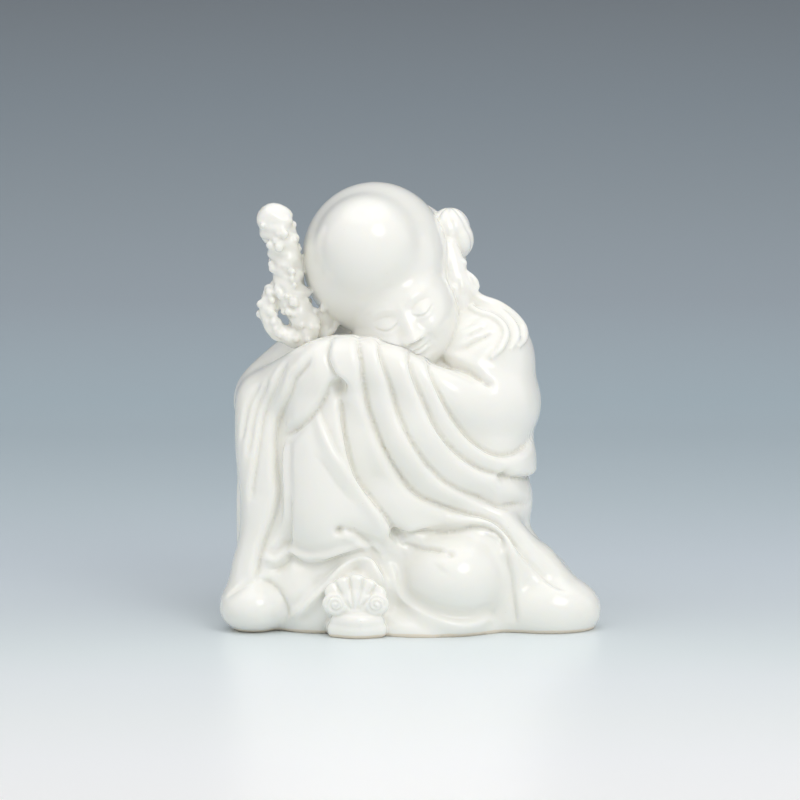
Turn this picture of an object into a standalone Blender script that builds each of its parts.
# Porcelain figure of Shoulao asleep: seated with one knee raised, arms folded on the knee,
# the high-domed head resting on the sleeves and a gnarled staff leaning beside it.
# Places are in hundredths of the figure's height: +X to the viewer's right, -Y to the front, +Z up.

import math

import bmesh
import bpy
import numpy as np
from mathutils import Matrix, Vector
from mathutils.bvhtree import BVHTree

figure_height = 0.120
part = figure_height / 100

# How finely the clay is modelled, in parts
cloth_voxel = 0.95
figure_voxel = 0.62
cloth_softening = 9
figure_softening = 3
most_triangles = 9600

# Knots of the staff
knot_count = 60
knot_sizes = (0.7, 1.1)

# Places that keep smaller triangles: centre and reach, in parts
finely_modelled = (((0, -20, 67), 11), ((-12.5, -30, 7), 9))
fine_keeping = 0.0001
fine_share = 0.4

# How a fold is shaped across its line, in parts
crease_width = 0.95
lip_rise = 1.1
lip_reach = 3.2
fold_taper = 6

glaze_colour = (0.87, 0.86, 0.80, 1.0)
glaze_roughness = 0.14

# Head: the skull, the swollen forehead and the face, which is tipped to one side and bowed
skull_centre = (-8.0, -3.0, 82.5)
skull_radii = (16.6, 17.0, 17.4)
forehead_centre = (-10.6, -10.7, 85.4)
forehead_radius = 13.2
face_centre = (-1.0, -9.3, 70.0)
face_radii = (11.8, 12.2, 12.2)
jowls_centre = (-2.6, -10.2, 65.4)
jowls_radii = (10.4, 10.6, 8.8)
ears = (((-17.2, -6.5, 69.6), (0.55, -0.75, -0.2), 1.0), ((8.9, -7.6, 73.6), (-0.3, -0.95, 0.0), 0.8))
head_lean = math.radians(24)
head_bow = math.radians(18)


# Ribbons: x, y, z and half width at the knot, then x, z and half width on the shoulder, and flatness
ribbon_depth = -6.0
ribbons = (
    ([(11.6, -5.4, 80.6, 1.0), (13.2, -6.2, 77.2, 1.1)],
     [(15.6, 74, 1.3), (19.8, 72.2, 1.4), (23, 70, 1.5), (25.2, 67.4, 1.5), (25.6, 65.2, 1.3), (24.2, 63.4, 1)], 0.8),
    ([(11, -5.8, 80.6, 1.0), (11.7, -7.6, 76.3, 1.0)],
     [(12.9, 72.6, 1.1), (15.2, 70.9, 1.1), (18.3, 70, 1.1), (20.6, 68.4, 1.1), (21.5, 66.5, 1.1), (21.2, 65, 1.1),
      (20.1, 63.1, 1), (18.2, 61.3, 0.9)], 1.0),
)


def clear_scene():
    for thing in list(bpy.data.objects):
        bpy.data.objects.remove(thing)


def smooth_path(points, step=0.8):
    """Points every step or so along a Catmull-Rom curve through the given rows."""
    rows = np.array(points, float)
    padded = np.vstack([2 * rows[0] - rows[1], rows, 2 * rows[-1] - rows[-2]])
    out = []
    for a, b, c, d in zip(padded, padded[1:], padded[2:], padded[3:]):
        count = max(2, int(np.linalg.norm((c - b)[:3]) / step))
        t = np.linspace(0, 1, count, endpoint=False)[:, None]
        out.append(
            0.5 * (2 * b + (c - a) * t + (2 * a - 5 * b + 4 * c - d) * t**2 + (3 * b - a - 3 * c + d) * t**3)
        )
    return np.vstack(out + [rows[-1:]])


def directions_along(path):
    """Unit directions of travel at each point of a path."""
    way = np.gradient(path, axis=0)
    return way / np.linalg.norm(way, axis=1, keepdims=True)


def add_rings(clay, skin):
    """Faces over a stack of rings, closed at both ends."""
    loops = [[clay.verts.new(spot) for spot in ring] for ring in skin]
    for low, high in zip(loops, loops[1:]):
        for k in range(len(low)):
            clay.faces.new((low[k], high[k], high[k - 1], low[k - 1]))
    clay.faces.new(loops[0])
    clay.faces.new(loops[-1][::-1])


def add_ball(clay, centre, radii, turn=None, rings=24):
    """An ellipsoid of clay."""
    tall = np.linspace(0, math.pi, rings + 1)[:, None]
    tall[0] += 0.25 * math.pi / rings
    tall[-1] -= 0.25 * math.pi / rings
    around = np.linspace(0, 2 * math.pi, 2 * rings, endpoint=False)[None]
    skin = np.stack(np.broadcast_arrays(np.sin(tall) * np.cos(around), np.sin(tall) * np.sin(around), -np.cos(tall)), axis=2)
    skin = skin * np.array(radii, float)
    if turn is not None:
        skin = skin @ np.array(turn).T
    add_rings(clay, skin + np.array(centre, float))


def add_roll(clay, points, flatness=1.0, facing=(0, -1, 0), sides=16, step=0.9):
    """A round-ended roll of clay along rows of x, y, z, radius; flatness thins it towards facing."""
    rows = smooth_path(points, step)
    path, radius = rows[:, :3], rows[:, 3]
    way = directions_along(path)
    out = np.array(facing, float) - way * (way @ np.array(facing, float))[:, None]
    out /= np.linalg.norm(out, axis=1, keepdims=True)
    across = np.cross(way, out)
    swing = np.radians([20, 45, 70, 90])
    shift = np.concatenate([-np.cos(swing), np.zeros(len(rows) - 2), np.cos(swing[::-1])])
    shrink = np.concatenate([np.sin(swing), np.ones(len(rows) - 2), np.sin(swing[::-1])])
    pick = np.concatenate([np.zeros(3, int), np.arange(len(rows)), np.full(3, len(rows) - 1)])
    tip = radius[pick] * (flatness if flatness < 1 else 1.0)
    middle = path[pick] + way[pick] * (shift * tip)[:, None]
    turn = np.linspace(0, 2 * math.pi, sides, endpoint=False)
    ring = np.cos(turn)[None, :, None] * across[pick][:, None] + flatness * np.sin(turn)[None, :, None] * out[pick][:, None]
    add_rings(clay, middle[:, None] + ring * (radius[pick] * shrink)[:, None, None])


def add_stack(clay, rows, sides=64):
    """A standing mass lofted through level ovals: rows of centre x, y, height and two half widths."""
    rows = smooth_path(rows, 1.5)
    turn = np.linspace(0, 2 * math.pi, sides, endpoint=False)
    oval = np.stack([np.cos(turn), np.sin(turn), 0 * turn], axis=1)
    size = np.stack([rows[:, 3], rows[:, 4], 0 * rows[:, 4]], axis=1)
    add_rings(clay, rows[:, None, :3] + oval[None] * size[:, None])


def object_of(clay, name):
    """The clay as a mesh object with its faces pointing out."""
    bmesh.ops.recalc_face_normals(clay, faces=clay.faces)
    mesh = bpy.data.meshes.new(name)
    clay.to_mesh(mesh)
    clay.free()
    thing = bpy.data.objects.new(name, mesh)
    bpy.context.scene.collection.objects.link(thing)
    return thing


def fuse(thing, voxel, softening):
    """Modifiers that make one skin of overlapping clay and soften its inner corners."""
    remesh = thing.modifiers.new("one_skin", "REMESH")
    remesh.mode = "VOXEL"
    remesh.voxel_size = voxel
    soften = thing.modifiers.new("soften", "SMOOTH")
    soften.factor = 0.5
    soften.iterations = softening


def fixed(thing, name):
    """The object as its modifiers leave it, as a plain mesh in its place."""
    graph = bpy.context.evaluated_depsgraph_get()
    mesh = bpy.data.meshes.new_from_object(thing.evaluated_get(graph))
    mesh.name = name
    bpy.data.objects.remove(thing)
    out = bpy.data.objects.new(name, mesh)
    bpy.context.scene.collection.objects.link(out)
    return out


# The robed body, from broad masses to the sleeves


def add_body(clay):
    add_stack(clay, [(-3, 2, -3, 33, 25), (-3, 2, 4, 34.5, 26), (-4, 2.5, 12, 33.5, 26), (-5, 3.5, 24, 32.5, 25),
                     (-5.3, 5, 36, 33.5, 24.5), (-5.5, 6, 46, 33.5, 24), (-5.5, 6.5, 54, 31, 22.5), (-4.5, 7, 61, 26, 19.5),
                     (-3, 7, 66.5, 19, 15.5), (-2, 6.5, 70.5, 12, 11), (-2, 6, 73, 5, 6)])
    add_ball(clay, (15.3, -3, 59), (13.4, 14.2, 13.6))
    add_ball(clay, (-20, 7, 53), (15, 15, 13))
    add_ball(clay, (-4, 11, 57), (22, 15, 15))
    add_ball(clay, (2, -7, 37), (21, 18, 24))
    add_ball(clay, (-8, -10, 27), (20, 17.5, 15))
    add_ball(clay, (-2, -11, 43), (17, 16.5, 18))
    add_ball(clay, (13, -6.5, 37), (16, 15.5, 13))
    add_ball(clay, (13.3, -5, 27), (14.8, 13, 11.5))


def add_arms(clay):
    add_ball(clay, (15, -4, 50), (15, 17.4, 13.6))
    add_roll(clay, [(16, -12, 50, 9), (8, -16.5, 51.5, 8), (2, -19, 54, 7.2), (-4, -20.5, 58, 6.8), (-12, -21, 60, 7)])
    add_roll(clay, [(-24, 5, 57, 9), (-31, 0, 51, 9), (-31, -6, 50, 8.5), (-25, -14, 55, 7.5),
                    (-18, -19, 59, 7.5), (-10, -21.5, 60, 6.8)])
    add_roll(clay, [(6, -15, 47.5, 9), (-4, -16, 50.5, 10.2), (-12, -16, 52, 10.2), (-21, -14, 52, 9.6)])


def add_legs(clay):
    add_roll(clay, [(-15, -12, 57, 9), (-16.5, -15, 44, 12), (-17.5, -16, 30, 12.6), (-17, -16.5, 25, 12.4)])
    add_ball(clay, (9.5, -14, 12), (13.8, 18.4, 12))
    add_ball(clay, (4, -14, 1), (20, 17.2, 6.4))
    add_ball(clay, (-20, -14, 8), (13, 13.5, 14))
    add_ball(clay, (-12, -20, 9), (10, 9, 10))


def add_hanging_sleeves(clay):
    add_roll(clay, [(-32, -8, 50, 8), (-32, -11, 40, 7.8), (-31, -13, 28, 7.6), (-31.5, -14, 20, 7.4),
                    (-33.5, -15.5, 13, 7.2), (-34.5, -17, 8, 7)])
    add_roll(clay, [(-33, 2, 44, 7.5), (-33, -2, 30, 7), (-33, -6, 16, 6.5), (-34, -9, 7, 6)])
    add_roll(clay, [(13, -16, 24.5, 7), (19.5, -16, 20, 6.8), (25.3, -15.5, 14.6, 6.3), (30.2, -15, 10.6, 6),
                    (34.2, -14.5, 8, 4.8)])
    add_roll(clay, [(17, -4, 22, 8), (25, -6, 13.5, 7), (30.6, -9, 8.8, 7), (34.5, -12, 6, 5.5)])
    add_roll(clay, [(9, -19, 36.6, 3.6), (13.5, -18.2, 33.9, 4), (18, -16.6, 31.8, 4.2), (21.5, -13.5, 30.4, 4.4),
                    (23.6, -8, 29.6, 4.4), (23.8, -2, 30, 4.4)])
    add_roll(clay, [(24, -19, 4.5, 6.4), (31, -19, 4.6, 6.4), (38.2, -18, 4.2, 5)])
    add_roll(clay, [(19, -19, 24.5, 3.4), (21.6, -20, 19, 3.4), (22.6, -20.6, 11, 3.4), (22.8, -20.8, 2, 3.6)])
    add_ball(clay, (-35.2, -18.5, 5.4), (8.2, 9.8, 6.6))
    add_ball(clay, (31, -16.5, 4.2), (12.4, 10.5, 8.4))
    add_ball(clay, (27, -13.5, 11.5), (7.5, 9, 8.5))


# Folds pressed into the cloth. Rows of x, z are looked up straight from the front, rows of
# x, y, z go to the nearest cloth. Drawn from the top down, a positive lip stands on the
# viewer's right of the crease and a negative one on the viewer's left.


def cloth_folds():
    """Each fold: its line, the height of its lip and the depth of its crease."""
    return [
        ([(4, 61.2), (5, 58.2), (6.1, 55.4), (7.3, 52.4), (8.8, 49.4), (10.4, 47), (12.3, 44.8), (14.1, 43),
          (16.2, 41.4), (18.5, 40.2), (21, 39.6), (23.5, 39.8), (26, 40.8), (27.8, 42.6)], -0.8, 1.6),
        ([(-0.2, 63.4), (0.3, 60), (1.2, 56.6), (2.4, 53.3), (3.9, 50.2), (5.6, 47), (7.4, 44.2), (9.6, 41.4),
          (12, 39.2), (14.2, 37.5), (16.4, 36.3), (18.6, 35.6), (20.6, 35.2)], -0.8, 1.6),
        ([(-7, 66.5), (-6.4, 63), (-5.6, 59.4), (-4.7, 56), (-3.6, 52.4), (-2.4, 49), (-1, 45.8), (0.5, 43),
          (2.2, 40.3), (3.8, 38), (5.7, 35.9), (7.8, 34), (10.2, 32.4), (12.8, 31), (15.5, 29.9), (18, 28.9),
          (20.6, 28.1), (23.4, 27.5), (26.4, 27.2)], -0.8, 1.6),
        ([(-11.9, 67), (-11.5, 64.5), (-11, 61), (-10.7, 57.6), (-10.2, 54.2), (-9.5, 50.8), (-8.5, 47.4),
          (-7.3, 44), (-5.8, 40.8), (-4.1, 37.7), (-2.1, 34.9), (0.3, 32.4), (2.9, 30.4), (5.8, 28.8), (9, 27.5),
          (12.4, 26.8), (15.8, 26.2), (18.8, 25), (21.3, 23), (23.4, 20.4), (25.2, 17.6), (27.2, 14.8),
          (29.5, 12.4), (32.5, 10.6)], -0.9, 1.8),
        ([(-16, 53.8), (-15.4, 50), (-14.7, 46.5), (-13.9, 43), (-13, 39.5), (-11.9, 36), (-10.2, 33),
          (-8.4, 30.4), (-6.6, 28), (-5, 25.8), (-3.8, 23.6), (-3.1, 21.4), (-2.6, 19.5)], -0.9, 2.1),
        ([(-2.6, 20.4), (0, 22), (3, 22.8), (6, 23.1), (10, 23.4), (14, 23.9), (17.4, 23.5), (20.2, 21.6),
          (21.6, 18.5)], 0.8, 1.3),
        ([(-2.5, 19.5), (0.5, 19.5), (4, 19.7), (6.5, 19.5), (8.6, 18.8)], 0.3, 1.1),
        ([(21.2, 19), (22, 15.5), (22.8, 12.5), (23, 8), (23.3, 4.5), (23.5, 2)], 0.6, 1.1),
        ([(18.5, -20, 35.2), (20.5, -19, 34.8), (22.8, -16.5, 34.2), (25.5, -11.5, 33.6), (27.6, -6, 33.4),
          (28.6, 0, 34), (28, 6, 36)], 0.6, 1.8),
        ([(-31.5, 14.6), (-29.8, 14.4), (-28.2, 15.6), (-26.8, 17.2), (-25, 16.4), (-22.5, 15.8), (-19.5, 16),
          (-16.5, 16.9), (-13.5, 18), (-11, 18.6)], 0.6, 1.0),
        ([(5, 61.6), (6.5, 61), (8.5, 60.2), (10.5, 59.8), (13, 58.9), (15, 57.8), (16.6, 56.6), (17.8, 55.6)], 0.8, 1.6),
        ([(-17.5, 66.5), (-18.5, 64), (-18.5, 61.5), (-17.5, 59), (-16.5, 57.5), (-15, 56), (-14.5, 54)], 1.2, 1.3),
        ([(-17.4, 56.4), (-18.4, 54.4), (-20.1, 51.6), (-22.4, 49), (-25.4, 46.4), (-28.6, 44)], -1.1, 1.1),
        ([(-20.5, 51), (-20, 49.5), (-18.5, 46.5), (-17.5, 44.5), (-16.5, 42), (-15, 40), (-13.5, 38.5)], -0.8, 0.7),
        ([(-21.5, 40.5), (-19.5, 38.5), (-17, 35), (-14.5, 32), (-12.5, 30)], 0.3, 0.6),
        ([(-22, 62.5), (-24, 59.5), (-26, 57), (-27, 54), (-28.5, 50.5), (-29.5, 47.5), (-30.5, 44.5), (-30.5, 42),
          (-30.5, 39), (-30.5, 36.5), (-30, 34), (-29.5, 31), (-30.5, 26.5), (-32, 23), (-33.5, 19.5),
          (-34, 15.5), (-34.5, 11.5)], -1.2, 1.3),
        ([(-27, 29.5), (-27, 23), (-27.5, 18.5)], 0.9, 1.0),
        ([(-27.5, 60.5), (-29, 59), (-30, 56.5), (-31, 53.5), (-32, 51), (-33, 47.5), (-33.5, 44.5), (-34, 41.5),
          (-34.5, 38.5), (-35, 35.5), (-36, 32), (-36, 28.5)], -0.9, 1.0),
        ([(-32, 56.5), (-33, 54), (-34, 51.5), (-35, 48.5), (-36, 45.5), (-36, 42), (-36.5, 38.5)], -0.8, 0.9),
        ([(-16, 23.5), (-15, 24), (-13, 23.5), (-11.5, 22.5), (-9.5, 20.5), (-8, 18.5), (-6, 17.5)], -0.8, 1.3),
        ([(-34.5, 11.5), (-36, 11), (-38, 10), (-40, 8.5), (-41.5, 7)], -0.9, 0.8),
        ([(-34.5, 11.5), (-31, 11), (-29.5, 9.5), (-28, 7), (-27.5, 4.5), (-28, 2)], 0.8, 1.4),
        ([(24, -12, 33), (27.5, -4, 33.5), (28, 4, 36), (24, 14, 38)], 0.9, 1.2),
        ([(27.5, -8, 41), (29, 0, 43), (28, 8, 47), (22, 17, 50)], 0.9, 1.1),
        ([(20, 16, 61), (8, 28, 48), (-2, 31, 33), (-8, 31, 18), (-10, 30, 6)], 1.2, 1.2),
        ([(12, 20, 62), (-2, 29, 51), (-12, 31, 36), (-19, 30, 20), (-22, 28, 7)], 1.2, 1.2),
        ([(-2, 22, 63), (-15, 27, 51), (-24, 26, 38), (-30, 24, 24), (-32, 20, 10)], 1.1, 1.2),
        ([(26, 14, 44), (18, 26, 32), (12, 30, 18), (10, 30, 6)], 1.1, 1.1),
        ([(28, 12, 26), (24, 22, 18), (22, 26, 6)], 0.8, 1.0),
        ([(-36, 2, 52), (-38, -2, 42), (-38.5, -3, 30), (-38, -4, 18), (-38, -6, 10)], 0.9, 1.0),
        ([(-30, 14, 52), (-34, 8, 42), (-36, 5, 28), (-37, 3, 12)], 0.9, 1.0),
    ]


def cloth_ridges():
    """Turned edges of the cloth: line, height and half width."""
    return [
        ([(-33.5, 17), (-32, 16.5), (-30.5, 16), (-29, 17), (-27.5, 18), (-26, 18), (-23.5, 17), (-20, 17.5),
          (-17.5, 18), (-14.5, 19), (-12.5, 19.5), (-11, 20), (-8, 19), (-5.5, 16.5)], 1.0, 1.0),
        ([(-25.5, 4), (-21.5, 8.5), (-17, 13), (-14.5, 15.5), (-12, 17), (-9.5, 16.5), (-7.5, 13.5), (-5.5, 10.5)], 1.8, 1.5),
        ([(-4.5, 16), (-4, 12.5), (-2.5, 9), (1, 6), (5.5, 3.8), (12, 2.4), (18.5, 3.6)], 2.2, 1.4),
        ([(-31.5, 44), (-31.5, 36), (-31, 28), (-32, 22), (-33, 18)], 0.8, 0.9),
        ([(-15.5, 22.5), (-12, 21), (-9.5, 19)], 0.5, 0.9),
    ]


def cloth_dents():
    """Deep pockets at the ends of creases: place, radius and depth."""
    return [((-16.2, 55), 1.7, 2.8), ((-2.7, 21.4), 2.0, 3.2), ((9, 18.7), 1.6, 1.6), ((21.5, 34.9), 1.8, 1.4),
            ((-15.5, 23.7), 1.5, 1.6), ((17.6, 55.8), 1.4, 1.0), ((-22, 12.6), 3.2, 1.5)]


def skin_line(tree, rows):
    """A line laid on the skin, with the skin's outward direction at each point."""
    spots = []
    for row in smooth_path(rows, 0.7):
        if len(row) == 2:
            hit = tree.ray_cast(Vector((row[0], -90, row[1])), Vector((0, 1, 0)))
        else:
            hit = tree.find_nearest(Vector(row))
        if hit[0] is not None:
            spots.append((*hit[0], *hit[1]))
    spots = np.array(spots)
    return spots[:, :3], spots[:, 3:]


def press_folds(body):
    """Moves the cloth along its own outward direction: up beside each crease, down in it."""
    mesh = body.data
    place = np.empty(3 * len(mesh.vertices))
    out = np.empty_like(place)
    mesh.vertices.foreach_get("co", place)
    mesh.vertices.foreach_get("normal", out)
    place = place.reshape(-1, 3)
    out = out.reshape(-1, 3)
    lift = np.zeros(len(place))
    tree = BVHTree.FromObject(body, bpy.context.evaluated_depsgraph_get())
    for rows, lip, crease in cloth_folds():
        line, facing = skin_line(tree, rows)
        side = np.cross(facing, directions_along(line))
        side /= np.linalg.norm(side, axis=1, keepdims=True)
        near = np.flatnonzero(((place > line.min(0) - 9) & (place < line.max(0) + 9)).all(axis=1))
        gap = place[near, None] - line[None]
        reach = np.linalg.norm(gap, axis=2)
        closest = reach.argmin(axis=1)
        reach = reach[np.arange(len(near)), closest]
        across = (gap[np.arange(len(near)), closest] * side[closest]).sum(axis=1) * np.sign(lip)
        fade = np.clip(np.minimum(closest + 2, len(line) + 1 - closest) / fold_taper, 0, 1)
        fade *= np.clip(1.6 * (out[near] * facing[closest]).sum(axis=1), 0, 1)
        rise = np.where(across > 0, (1 - np.exp(-(reach / lip_rise) ** 2)) * np.exp(-((reach / lip_reach) ** 1.5)), 0)
        sink = np.exp(-((reach / crease_width) ** 2)) + 0.25 * np.where(across < 0, np.exp(-reach / lip_reach), 0)
        lift[near] += fade * (abs(lip) * rise - crease * sink)
    for rows, height, width in cloth_ridges():
        line = skin_line(tree, rows)[0]
        near = np.flatnonzero(((place > line.min(0) - 6) & (place < line.max(0) + 6)).all(axis=1))
        reach = np.linalg.norm(place[near, None] - line[None], axis=2)
        closest = reach.argmin(axis=1)
        fade = np.clip(np.minimum(closest + 1, len(line) - closest) / fold_taper, 0, 1)
        lift[near] += fade * height * np.exp(-((reach.min(axis=1) / width) ** 2))
    for spot, radius, depth in cloth_dents():
        line = skin_line(tree, [spot, spot])[0]
        reach = np.linalg.norm(place - line[0], axis=1)
        lift -= depth * np.exp(-((reach / radius) ** 2))
    mesh.vertices.foreach_set("co", (place + out * lift[:, None]).ravel())
    mesh.update()


def make_cloth_body():
    clay = bmesh.new()
    add_body(clay)
    add_arms(clay)
    add_legs(clay)
    add_hanging_sleeves(clay)
    body = object_of(clay, "cloth_body")
    fuse(body, cloth_voxel, cloth_softening)
    body = fixed(body, "cloth_body")
    press_folds(body)
    return body


# Head


def head_axes():
    """The head's own right, back and up directions."""
    return Matrix.Rotation(-head_lean, 3, "Y") @ Matrix.Rotation(head_bow, 3, "X")


def add_head(clay):
    turn = head_axes()
    add_ball(clay, skull_centre, skull_radii, rings=40)
    add_ball(clay, forehead_centre, (forehead_radius,) * 3, rings=40)
    add_ball(clay, face_centre, face_radii, turn, rings=32)
    add_ball(clay, jowls_centre, jowls_radii, turn, rings=32)

    def on_face(x, y, z):
        return Vector(face_centre) + turn @ Vector((x, y, z))

    for side in (-1, 1):
        add_ball(clay, on_face(side * 5.6, -8.2, -3.6), (3.6, 3.4, 3.4), turn)
        add_ball(clay, on_face(side * 4.4, -10.3, 0.6), (2.6, 2.0, 1.6), turn)
        add_roll(clay, [(*on_face(side * 1.6, -10.9, 3.6), 0.9), (*on_face(side * 4.6, -10.3, 4.2), 1.0),
                        (*on_face(side * 7.8, -8.4, 3.4), 0.9)])
        add_ball(clay, on_face(side * 1.9, -12.2, -4.1), (1.2, 1.4, 1.1), turn)
    add_roll(clay, [(*on_face(0, -10.6, 3.2), 1.6), (*on_face(0, -11.6, -0.6), 1.8), (*on_face(0, -12.4, -3.6), 2.1)])
    add_roll(clay, [(*on_face(-2.4, -11, -6.6), 0.7), (*on_face(0, -12, -6.4), 1.0), (*on_face(2.4, -11, -6.6), 0.7)])
    add_roll(clay, [(*on_face(-1.8, -10.8, -8), 0.7), (*on_face(0, -11.7, -8.2), 1.1), (*on_face(1.8, -10.8, -8), 0.7)])
    add_ball(clay, on_face(0, -8.8, -10.8), (3.2, 2.6, 2.2), turn)
    for spot, facing, size in ears:
        ear = Vector(facing).to_track_quat("-Y", "Z").to_matrix()
        shell, lobe = np.array((2.1, 1.3, 3.8)), np.array((1.3, 1.2, 2.1))
        add_ball(clay, Vector(spot) + size * (ear @ Vector((0.2, 0.2, 0.4))), shell * size, ear)
        add_ball(clay, Vector(spot) + size * (ear @ Vector((-0.2, 0, -3.6))), lobe * size, ear)


def add_hair(clay):
    add_ball(clay, (-3.2, 4, 79.5), (16.2, 15, 16.5), rings=40)
    add_ball(clay, (-1, 6, 70), (13.5, 11, 9))
    add_roll(clay, [(8, -3, 85, 3.2), (9.2, -4.4, 79.5, 3.7), (9.9, -5.4, 74.5, 3.8), (10.6, -6, 70, 3.4)], 0.8)
    add_ball(clay, (9, 1.6, 88.2), (4.9, 5.6, 5.7))
    add_ball(clay, (10.6, 0.8, 86.6), (3.9, 4.6, 4.6))
    add_ball(clay, (11.6, -4.6, 81.6), (1.3, 1.3, 1.2))


def laid_on(tree, rows):
    """Rows of x, z, half width dropped on the cloth from the front; above the shoulder they keep their depth."""
    laid, depth = [], ribbon_depth
    for x, z, half in rows:
        hit = tree.ray_cast(Vector((x, -90, z)), Vector((0, 1, 0)))[0]
        depth = hit.y - 0.3 * half if hit is not None and hit.y < 4 else depth
        laid.append((x, depth, z, half))
    return laid


def add_ribbons(clay, body):
    """The ribbons of the bun: each starts at the knot and is then laid on the shoulder."""
    tree = BVHTree.FromObject(body, bpy.context.evaluated_depsgraph_get())
    outward = (0.35, -0.75, 0.55)
    for held, laid, flatness in ribbons:
        add_roll(clay, held + laid_on(tree, laid), flatness, outward, step=0.6)


# Shoe and staff


def add_shoe(clay):
    add_roll(clay, [(-16.4, -28.6, 1.7, 2.2), (-12, -30.4, 1.7, 2.3), (-7.4, -29.2, 1.7, 2.2)])
    add_roll(clay, [(-16.2, -28.8, 3.4, 1.8), (-12, -30.8, 3.6, 1.9), (-7.6, -29.4, 3.4, 1.8)])
    add_roll(clay, [(-16.6, -26.5, 2, 2.4), (-12, -28, 2, 2.6), (-7.2, -26.5, 2, 2.4)])
    add_ball(clay, (-12.2, -24.5, 6.8), (7, 6.4, 7.6))
    for x, z, size in ((-17.9, 10.6, 1.75), (-15.4, 12.2, 1.85), (-12, 12.9, 1.9), (-8.8, 11.8, 1.85), (-6.5, 10, 1.75)):
        add_roll(clay, [(-12.2, -29.4, 6.4, 1.5), (x, -28.7, z, size)], 0.6)
    for x, z in ((-16.7, 7.5), (-7.7, 7.4)):
        add_ball(clay, (x, -29.6, z), (3, 1.9, 2.6))


def add_staff(clay):
    stem = [(-23.6, -9, 64.8, 2.6), (-22.9, -9, 67.2, 2.8), (-24.9, -9, 70.6, 3.1), (-26.7, -8.5, 74.6, 3.4),
            (-27.6, -8, 79, 3.5), (-28.2, -8, 83.4, 3.5), (-29.3, -8, 87.6, 3.7), (-30.7, -8, 91.4, 4.1)]
    add_roll(clay, stem)
    add_roll(clay, [(-29.8, -8, 76.5, 1.9), (-32, -8.5, 72.6, 1.9), (-31.4, -9, 68.2, 2), (-27.6, -9.5, 65.4, 2.2),
                    (-23.6, -9, 64.8, 2.3)])
    knots = np.random.default_rng(7)
    spine = smooth_path(stem[2:], 1.0)
    for k in range(knot_count):
        x, y, z, radius = spine[knots.integers(len(spine))]
        angle = knots.uniform(0, 2 * math.pi)
        reach = radius * knots.uniform(0.9, 1.1)
        size = knots.uniform(*knot_sizes)
        add_ball(clay, (x + math.cos(angle) * reach, y + math.sin(angle) * reach, z), (size,) * 3, rings=8)


def make_figure(body):
    clay = bmesh.new()
    add_head(clay)
    add_hair(clay)
    add_ribbons(clay, body)
    add_shoe(clay)
    add_staff(clay)
    clay.from_mesh(body.data)
    bpy.data.objects.remove(body)
    figure = object_of(clay, "shoulao_figure")
    fuse(figure, figure_voxel, figure_softening)
    return fixed(figure, "shoulao_figure")


def finish_figure(figure):
    """Centres the figure over its foot, gives it its real size, thins its triangles and grinds its foot flat."""
    spots = np.empty(3 * len(figure.data.vertices))
    figure.data.vertices.foreach_get("co", spots)
    spots = spots.reshape(-1, 3)
    coarse = figure.vertex_groups.new(name="coarse")
    detailed = [math.dist(spot, centre) < reach for spot in spots for centre, reach in finely_modelled]
    detailed = np.array(detailed).reshape(len(spots), -1).any(axis=1)
    coarse.add(np.flatnonzero(~detailed).tolist(), 1.0, "REPLACE")
    coarse.add(np.flatnonzero(detailed).tolist(), fine_share, "REPLACE")
    middle = (spots.max(axis=0) + spots.min(axis=0)) / 2
    centring = Matrix.Translation((-middle[0], -middle[1], 0))
    figure.data.transform(Matrix.Scale(part, 4) @ centring)
    thin = figure.modifiers.new("thin", "DECIMATE")
    thin.ratio = most_triangles / (2 * len(figure.data.polygons))
    thin.vertex_group = "coarse"
    thin.vertex_group_factor = fine_keeping
    bpy.ops.mesh.primitive_cube_add(size=1)
    ground = bpy.context.object
    ground.name = "ground_cutter"
    ground.scale = (2 * figure_height, 2 * figure_height, 0.2 * figure_height)
    ground.location = (0, 0, -0.1 * figure_height)
    ground.hide_render = True
    ground.display_type = "WIRE"
    cut = figure.modifiers.new("flat_foot", "BOOLEAN")
    cut.operation = "DIFFERENCE"
    cut.object = ground


def glaze_material():
    glaze = bpy.data.materials.new("ivory_glaze")
    glaze.use_nodes = True
    shader = glaze.node_tree.nodes["Principled BSDF"]
    shader.inputs["Base Color"].default_value = glaze_colour
    shader.inputs["Roughness"].default_value = glaze_roughness
    shader.inputs["Metallic"].default_value = 0.0
    return glaze


clear_scene()
figure = make_figure(make_cloth_body())
finish_figure(figure)
figure.data.materials.append(glaze_material())
figure.data.shade_smooth()
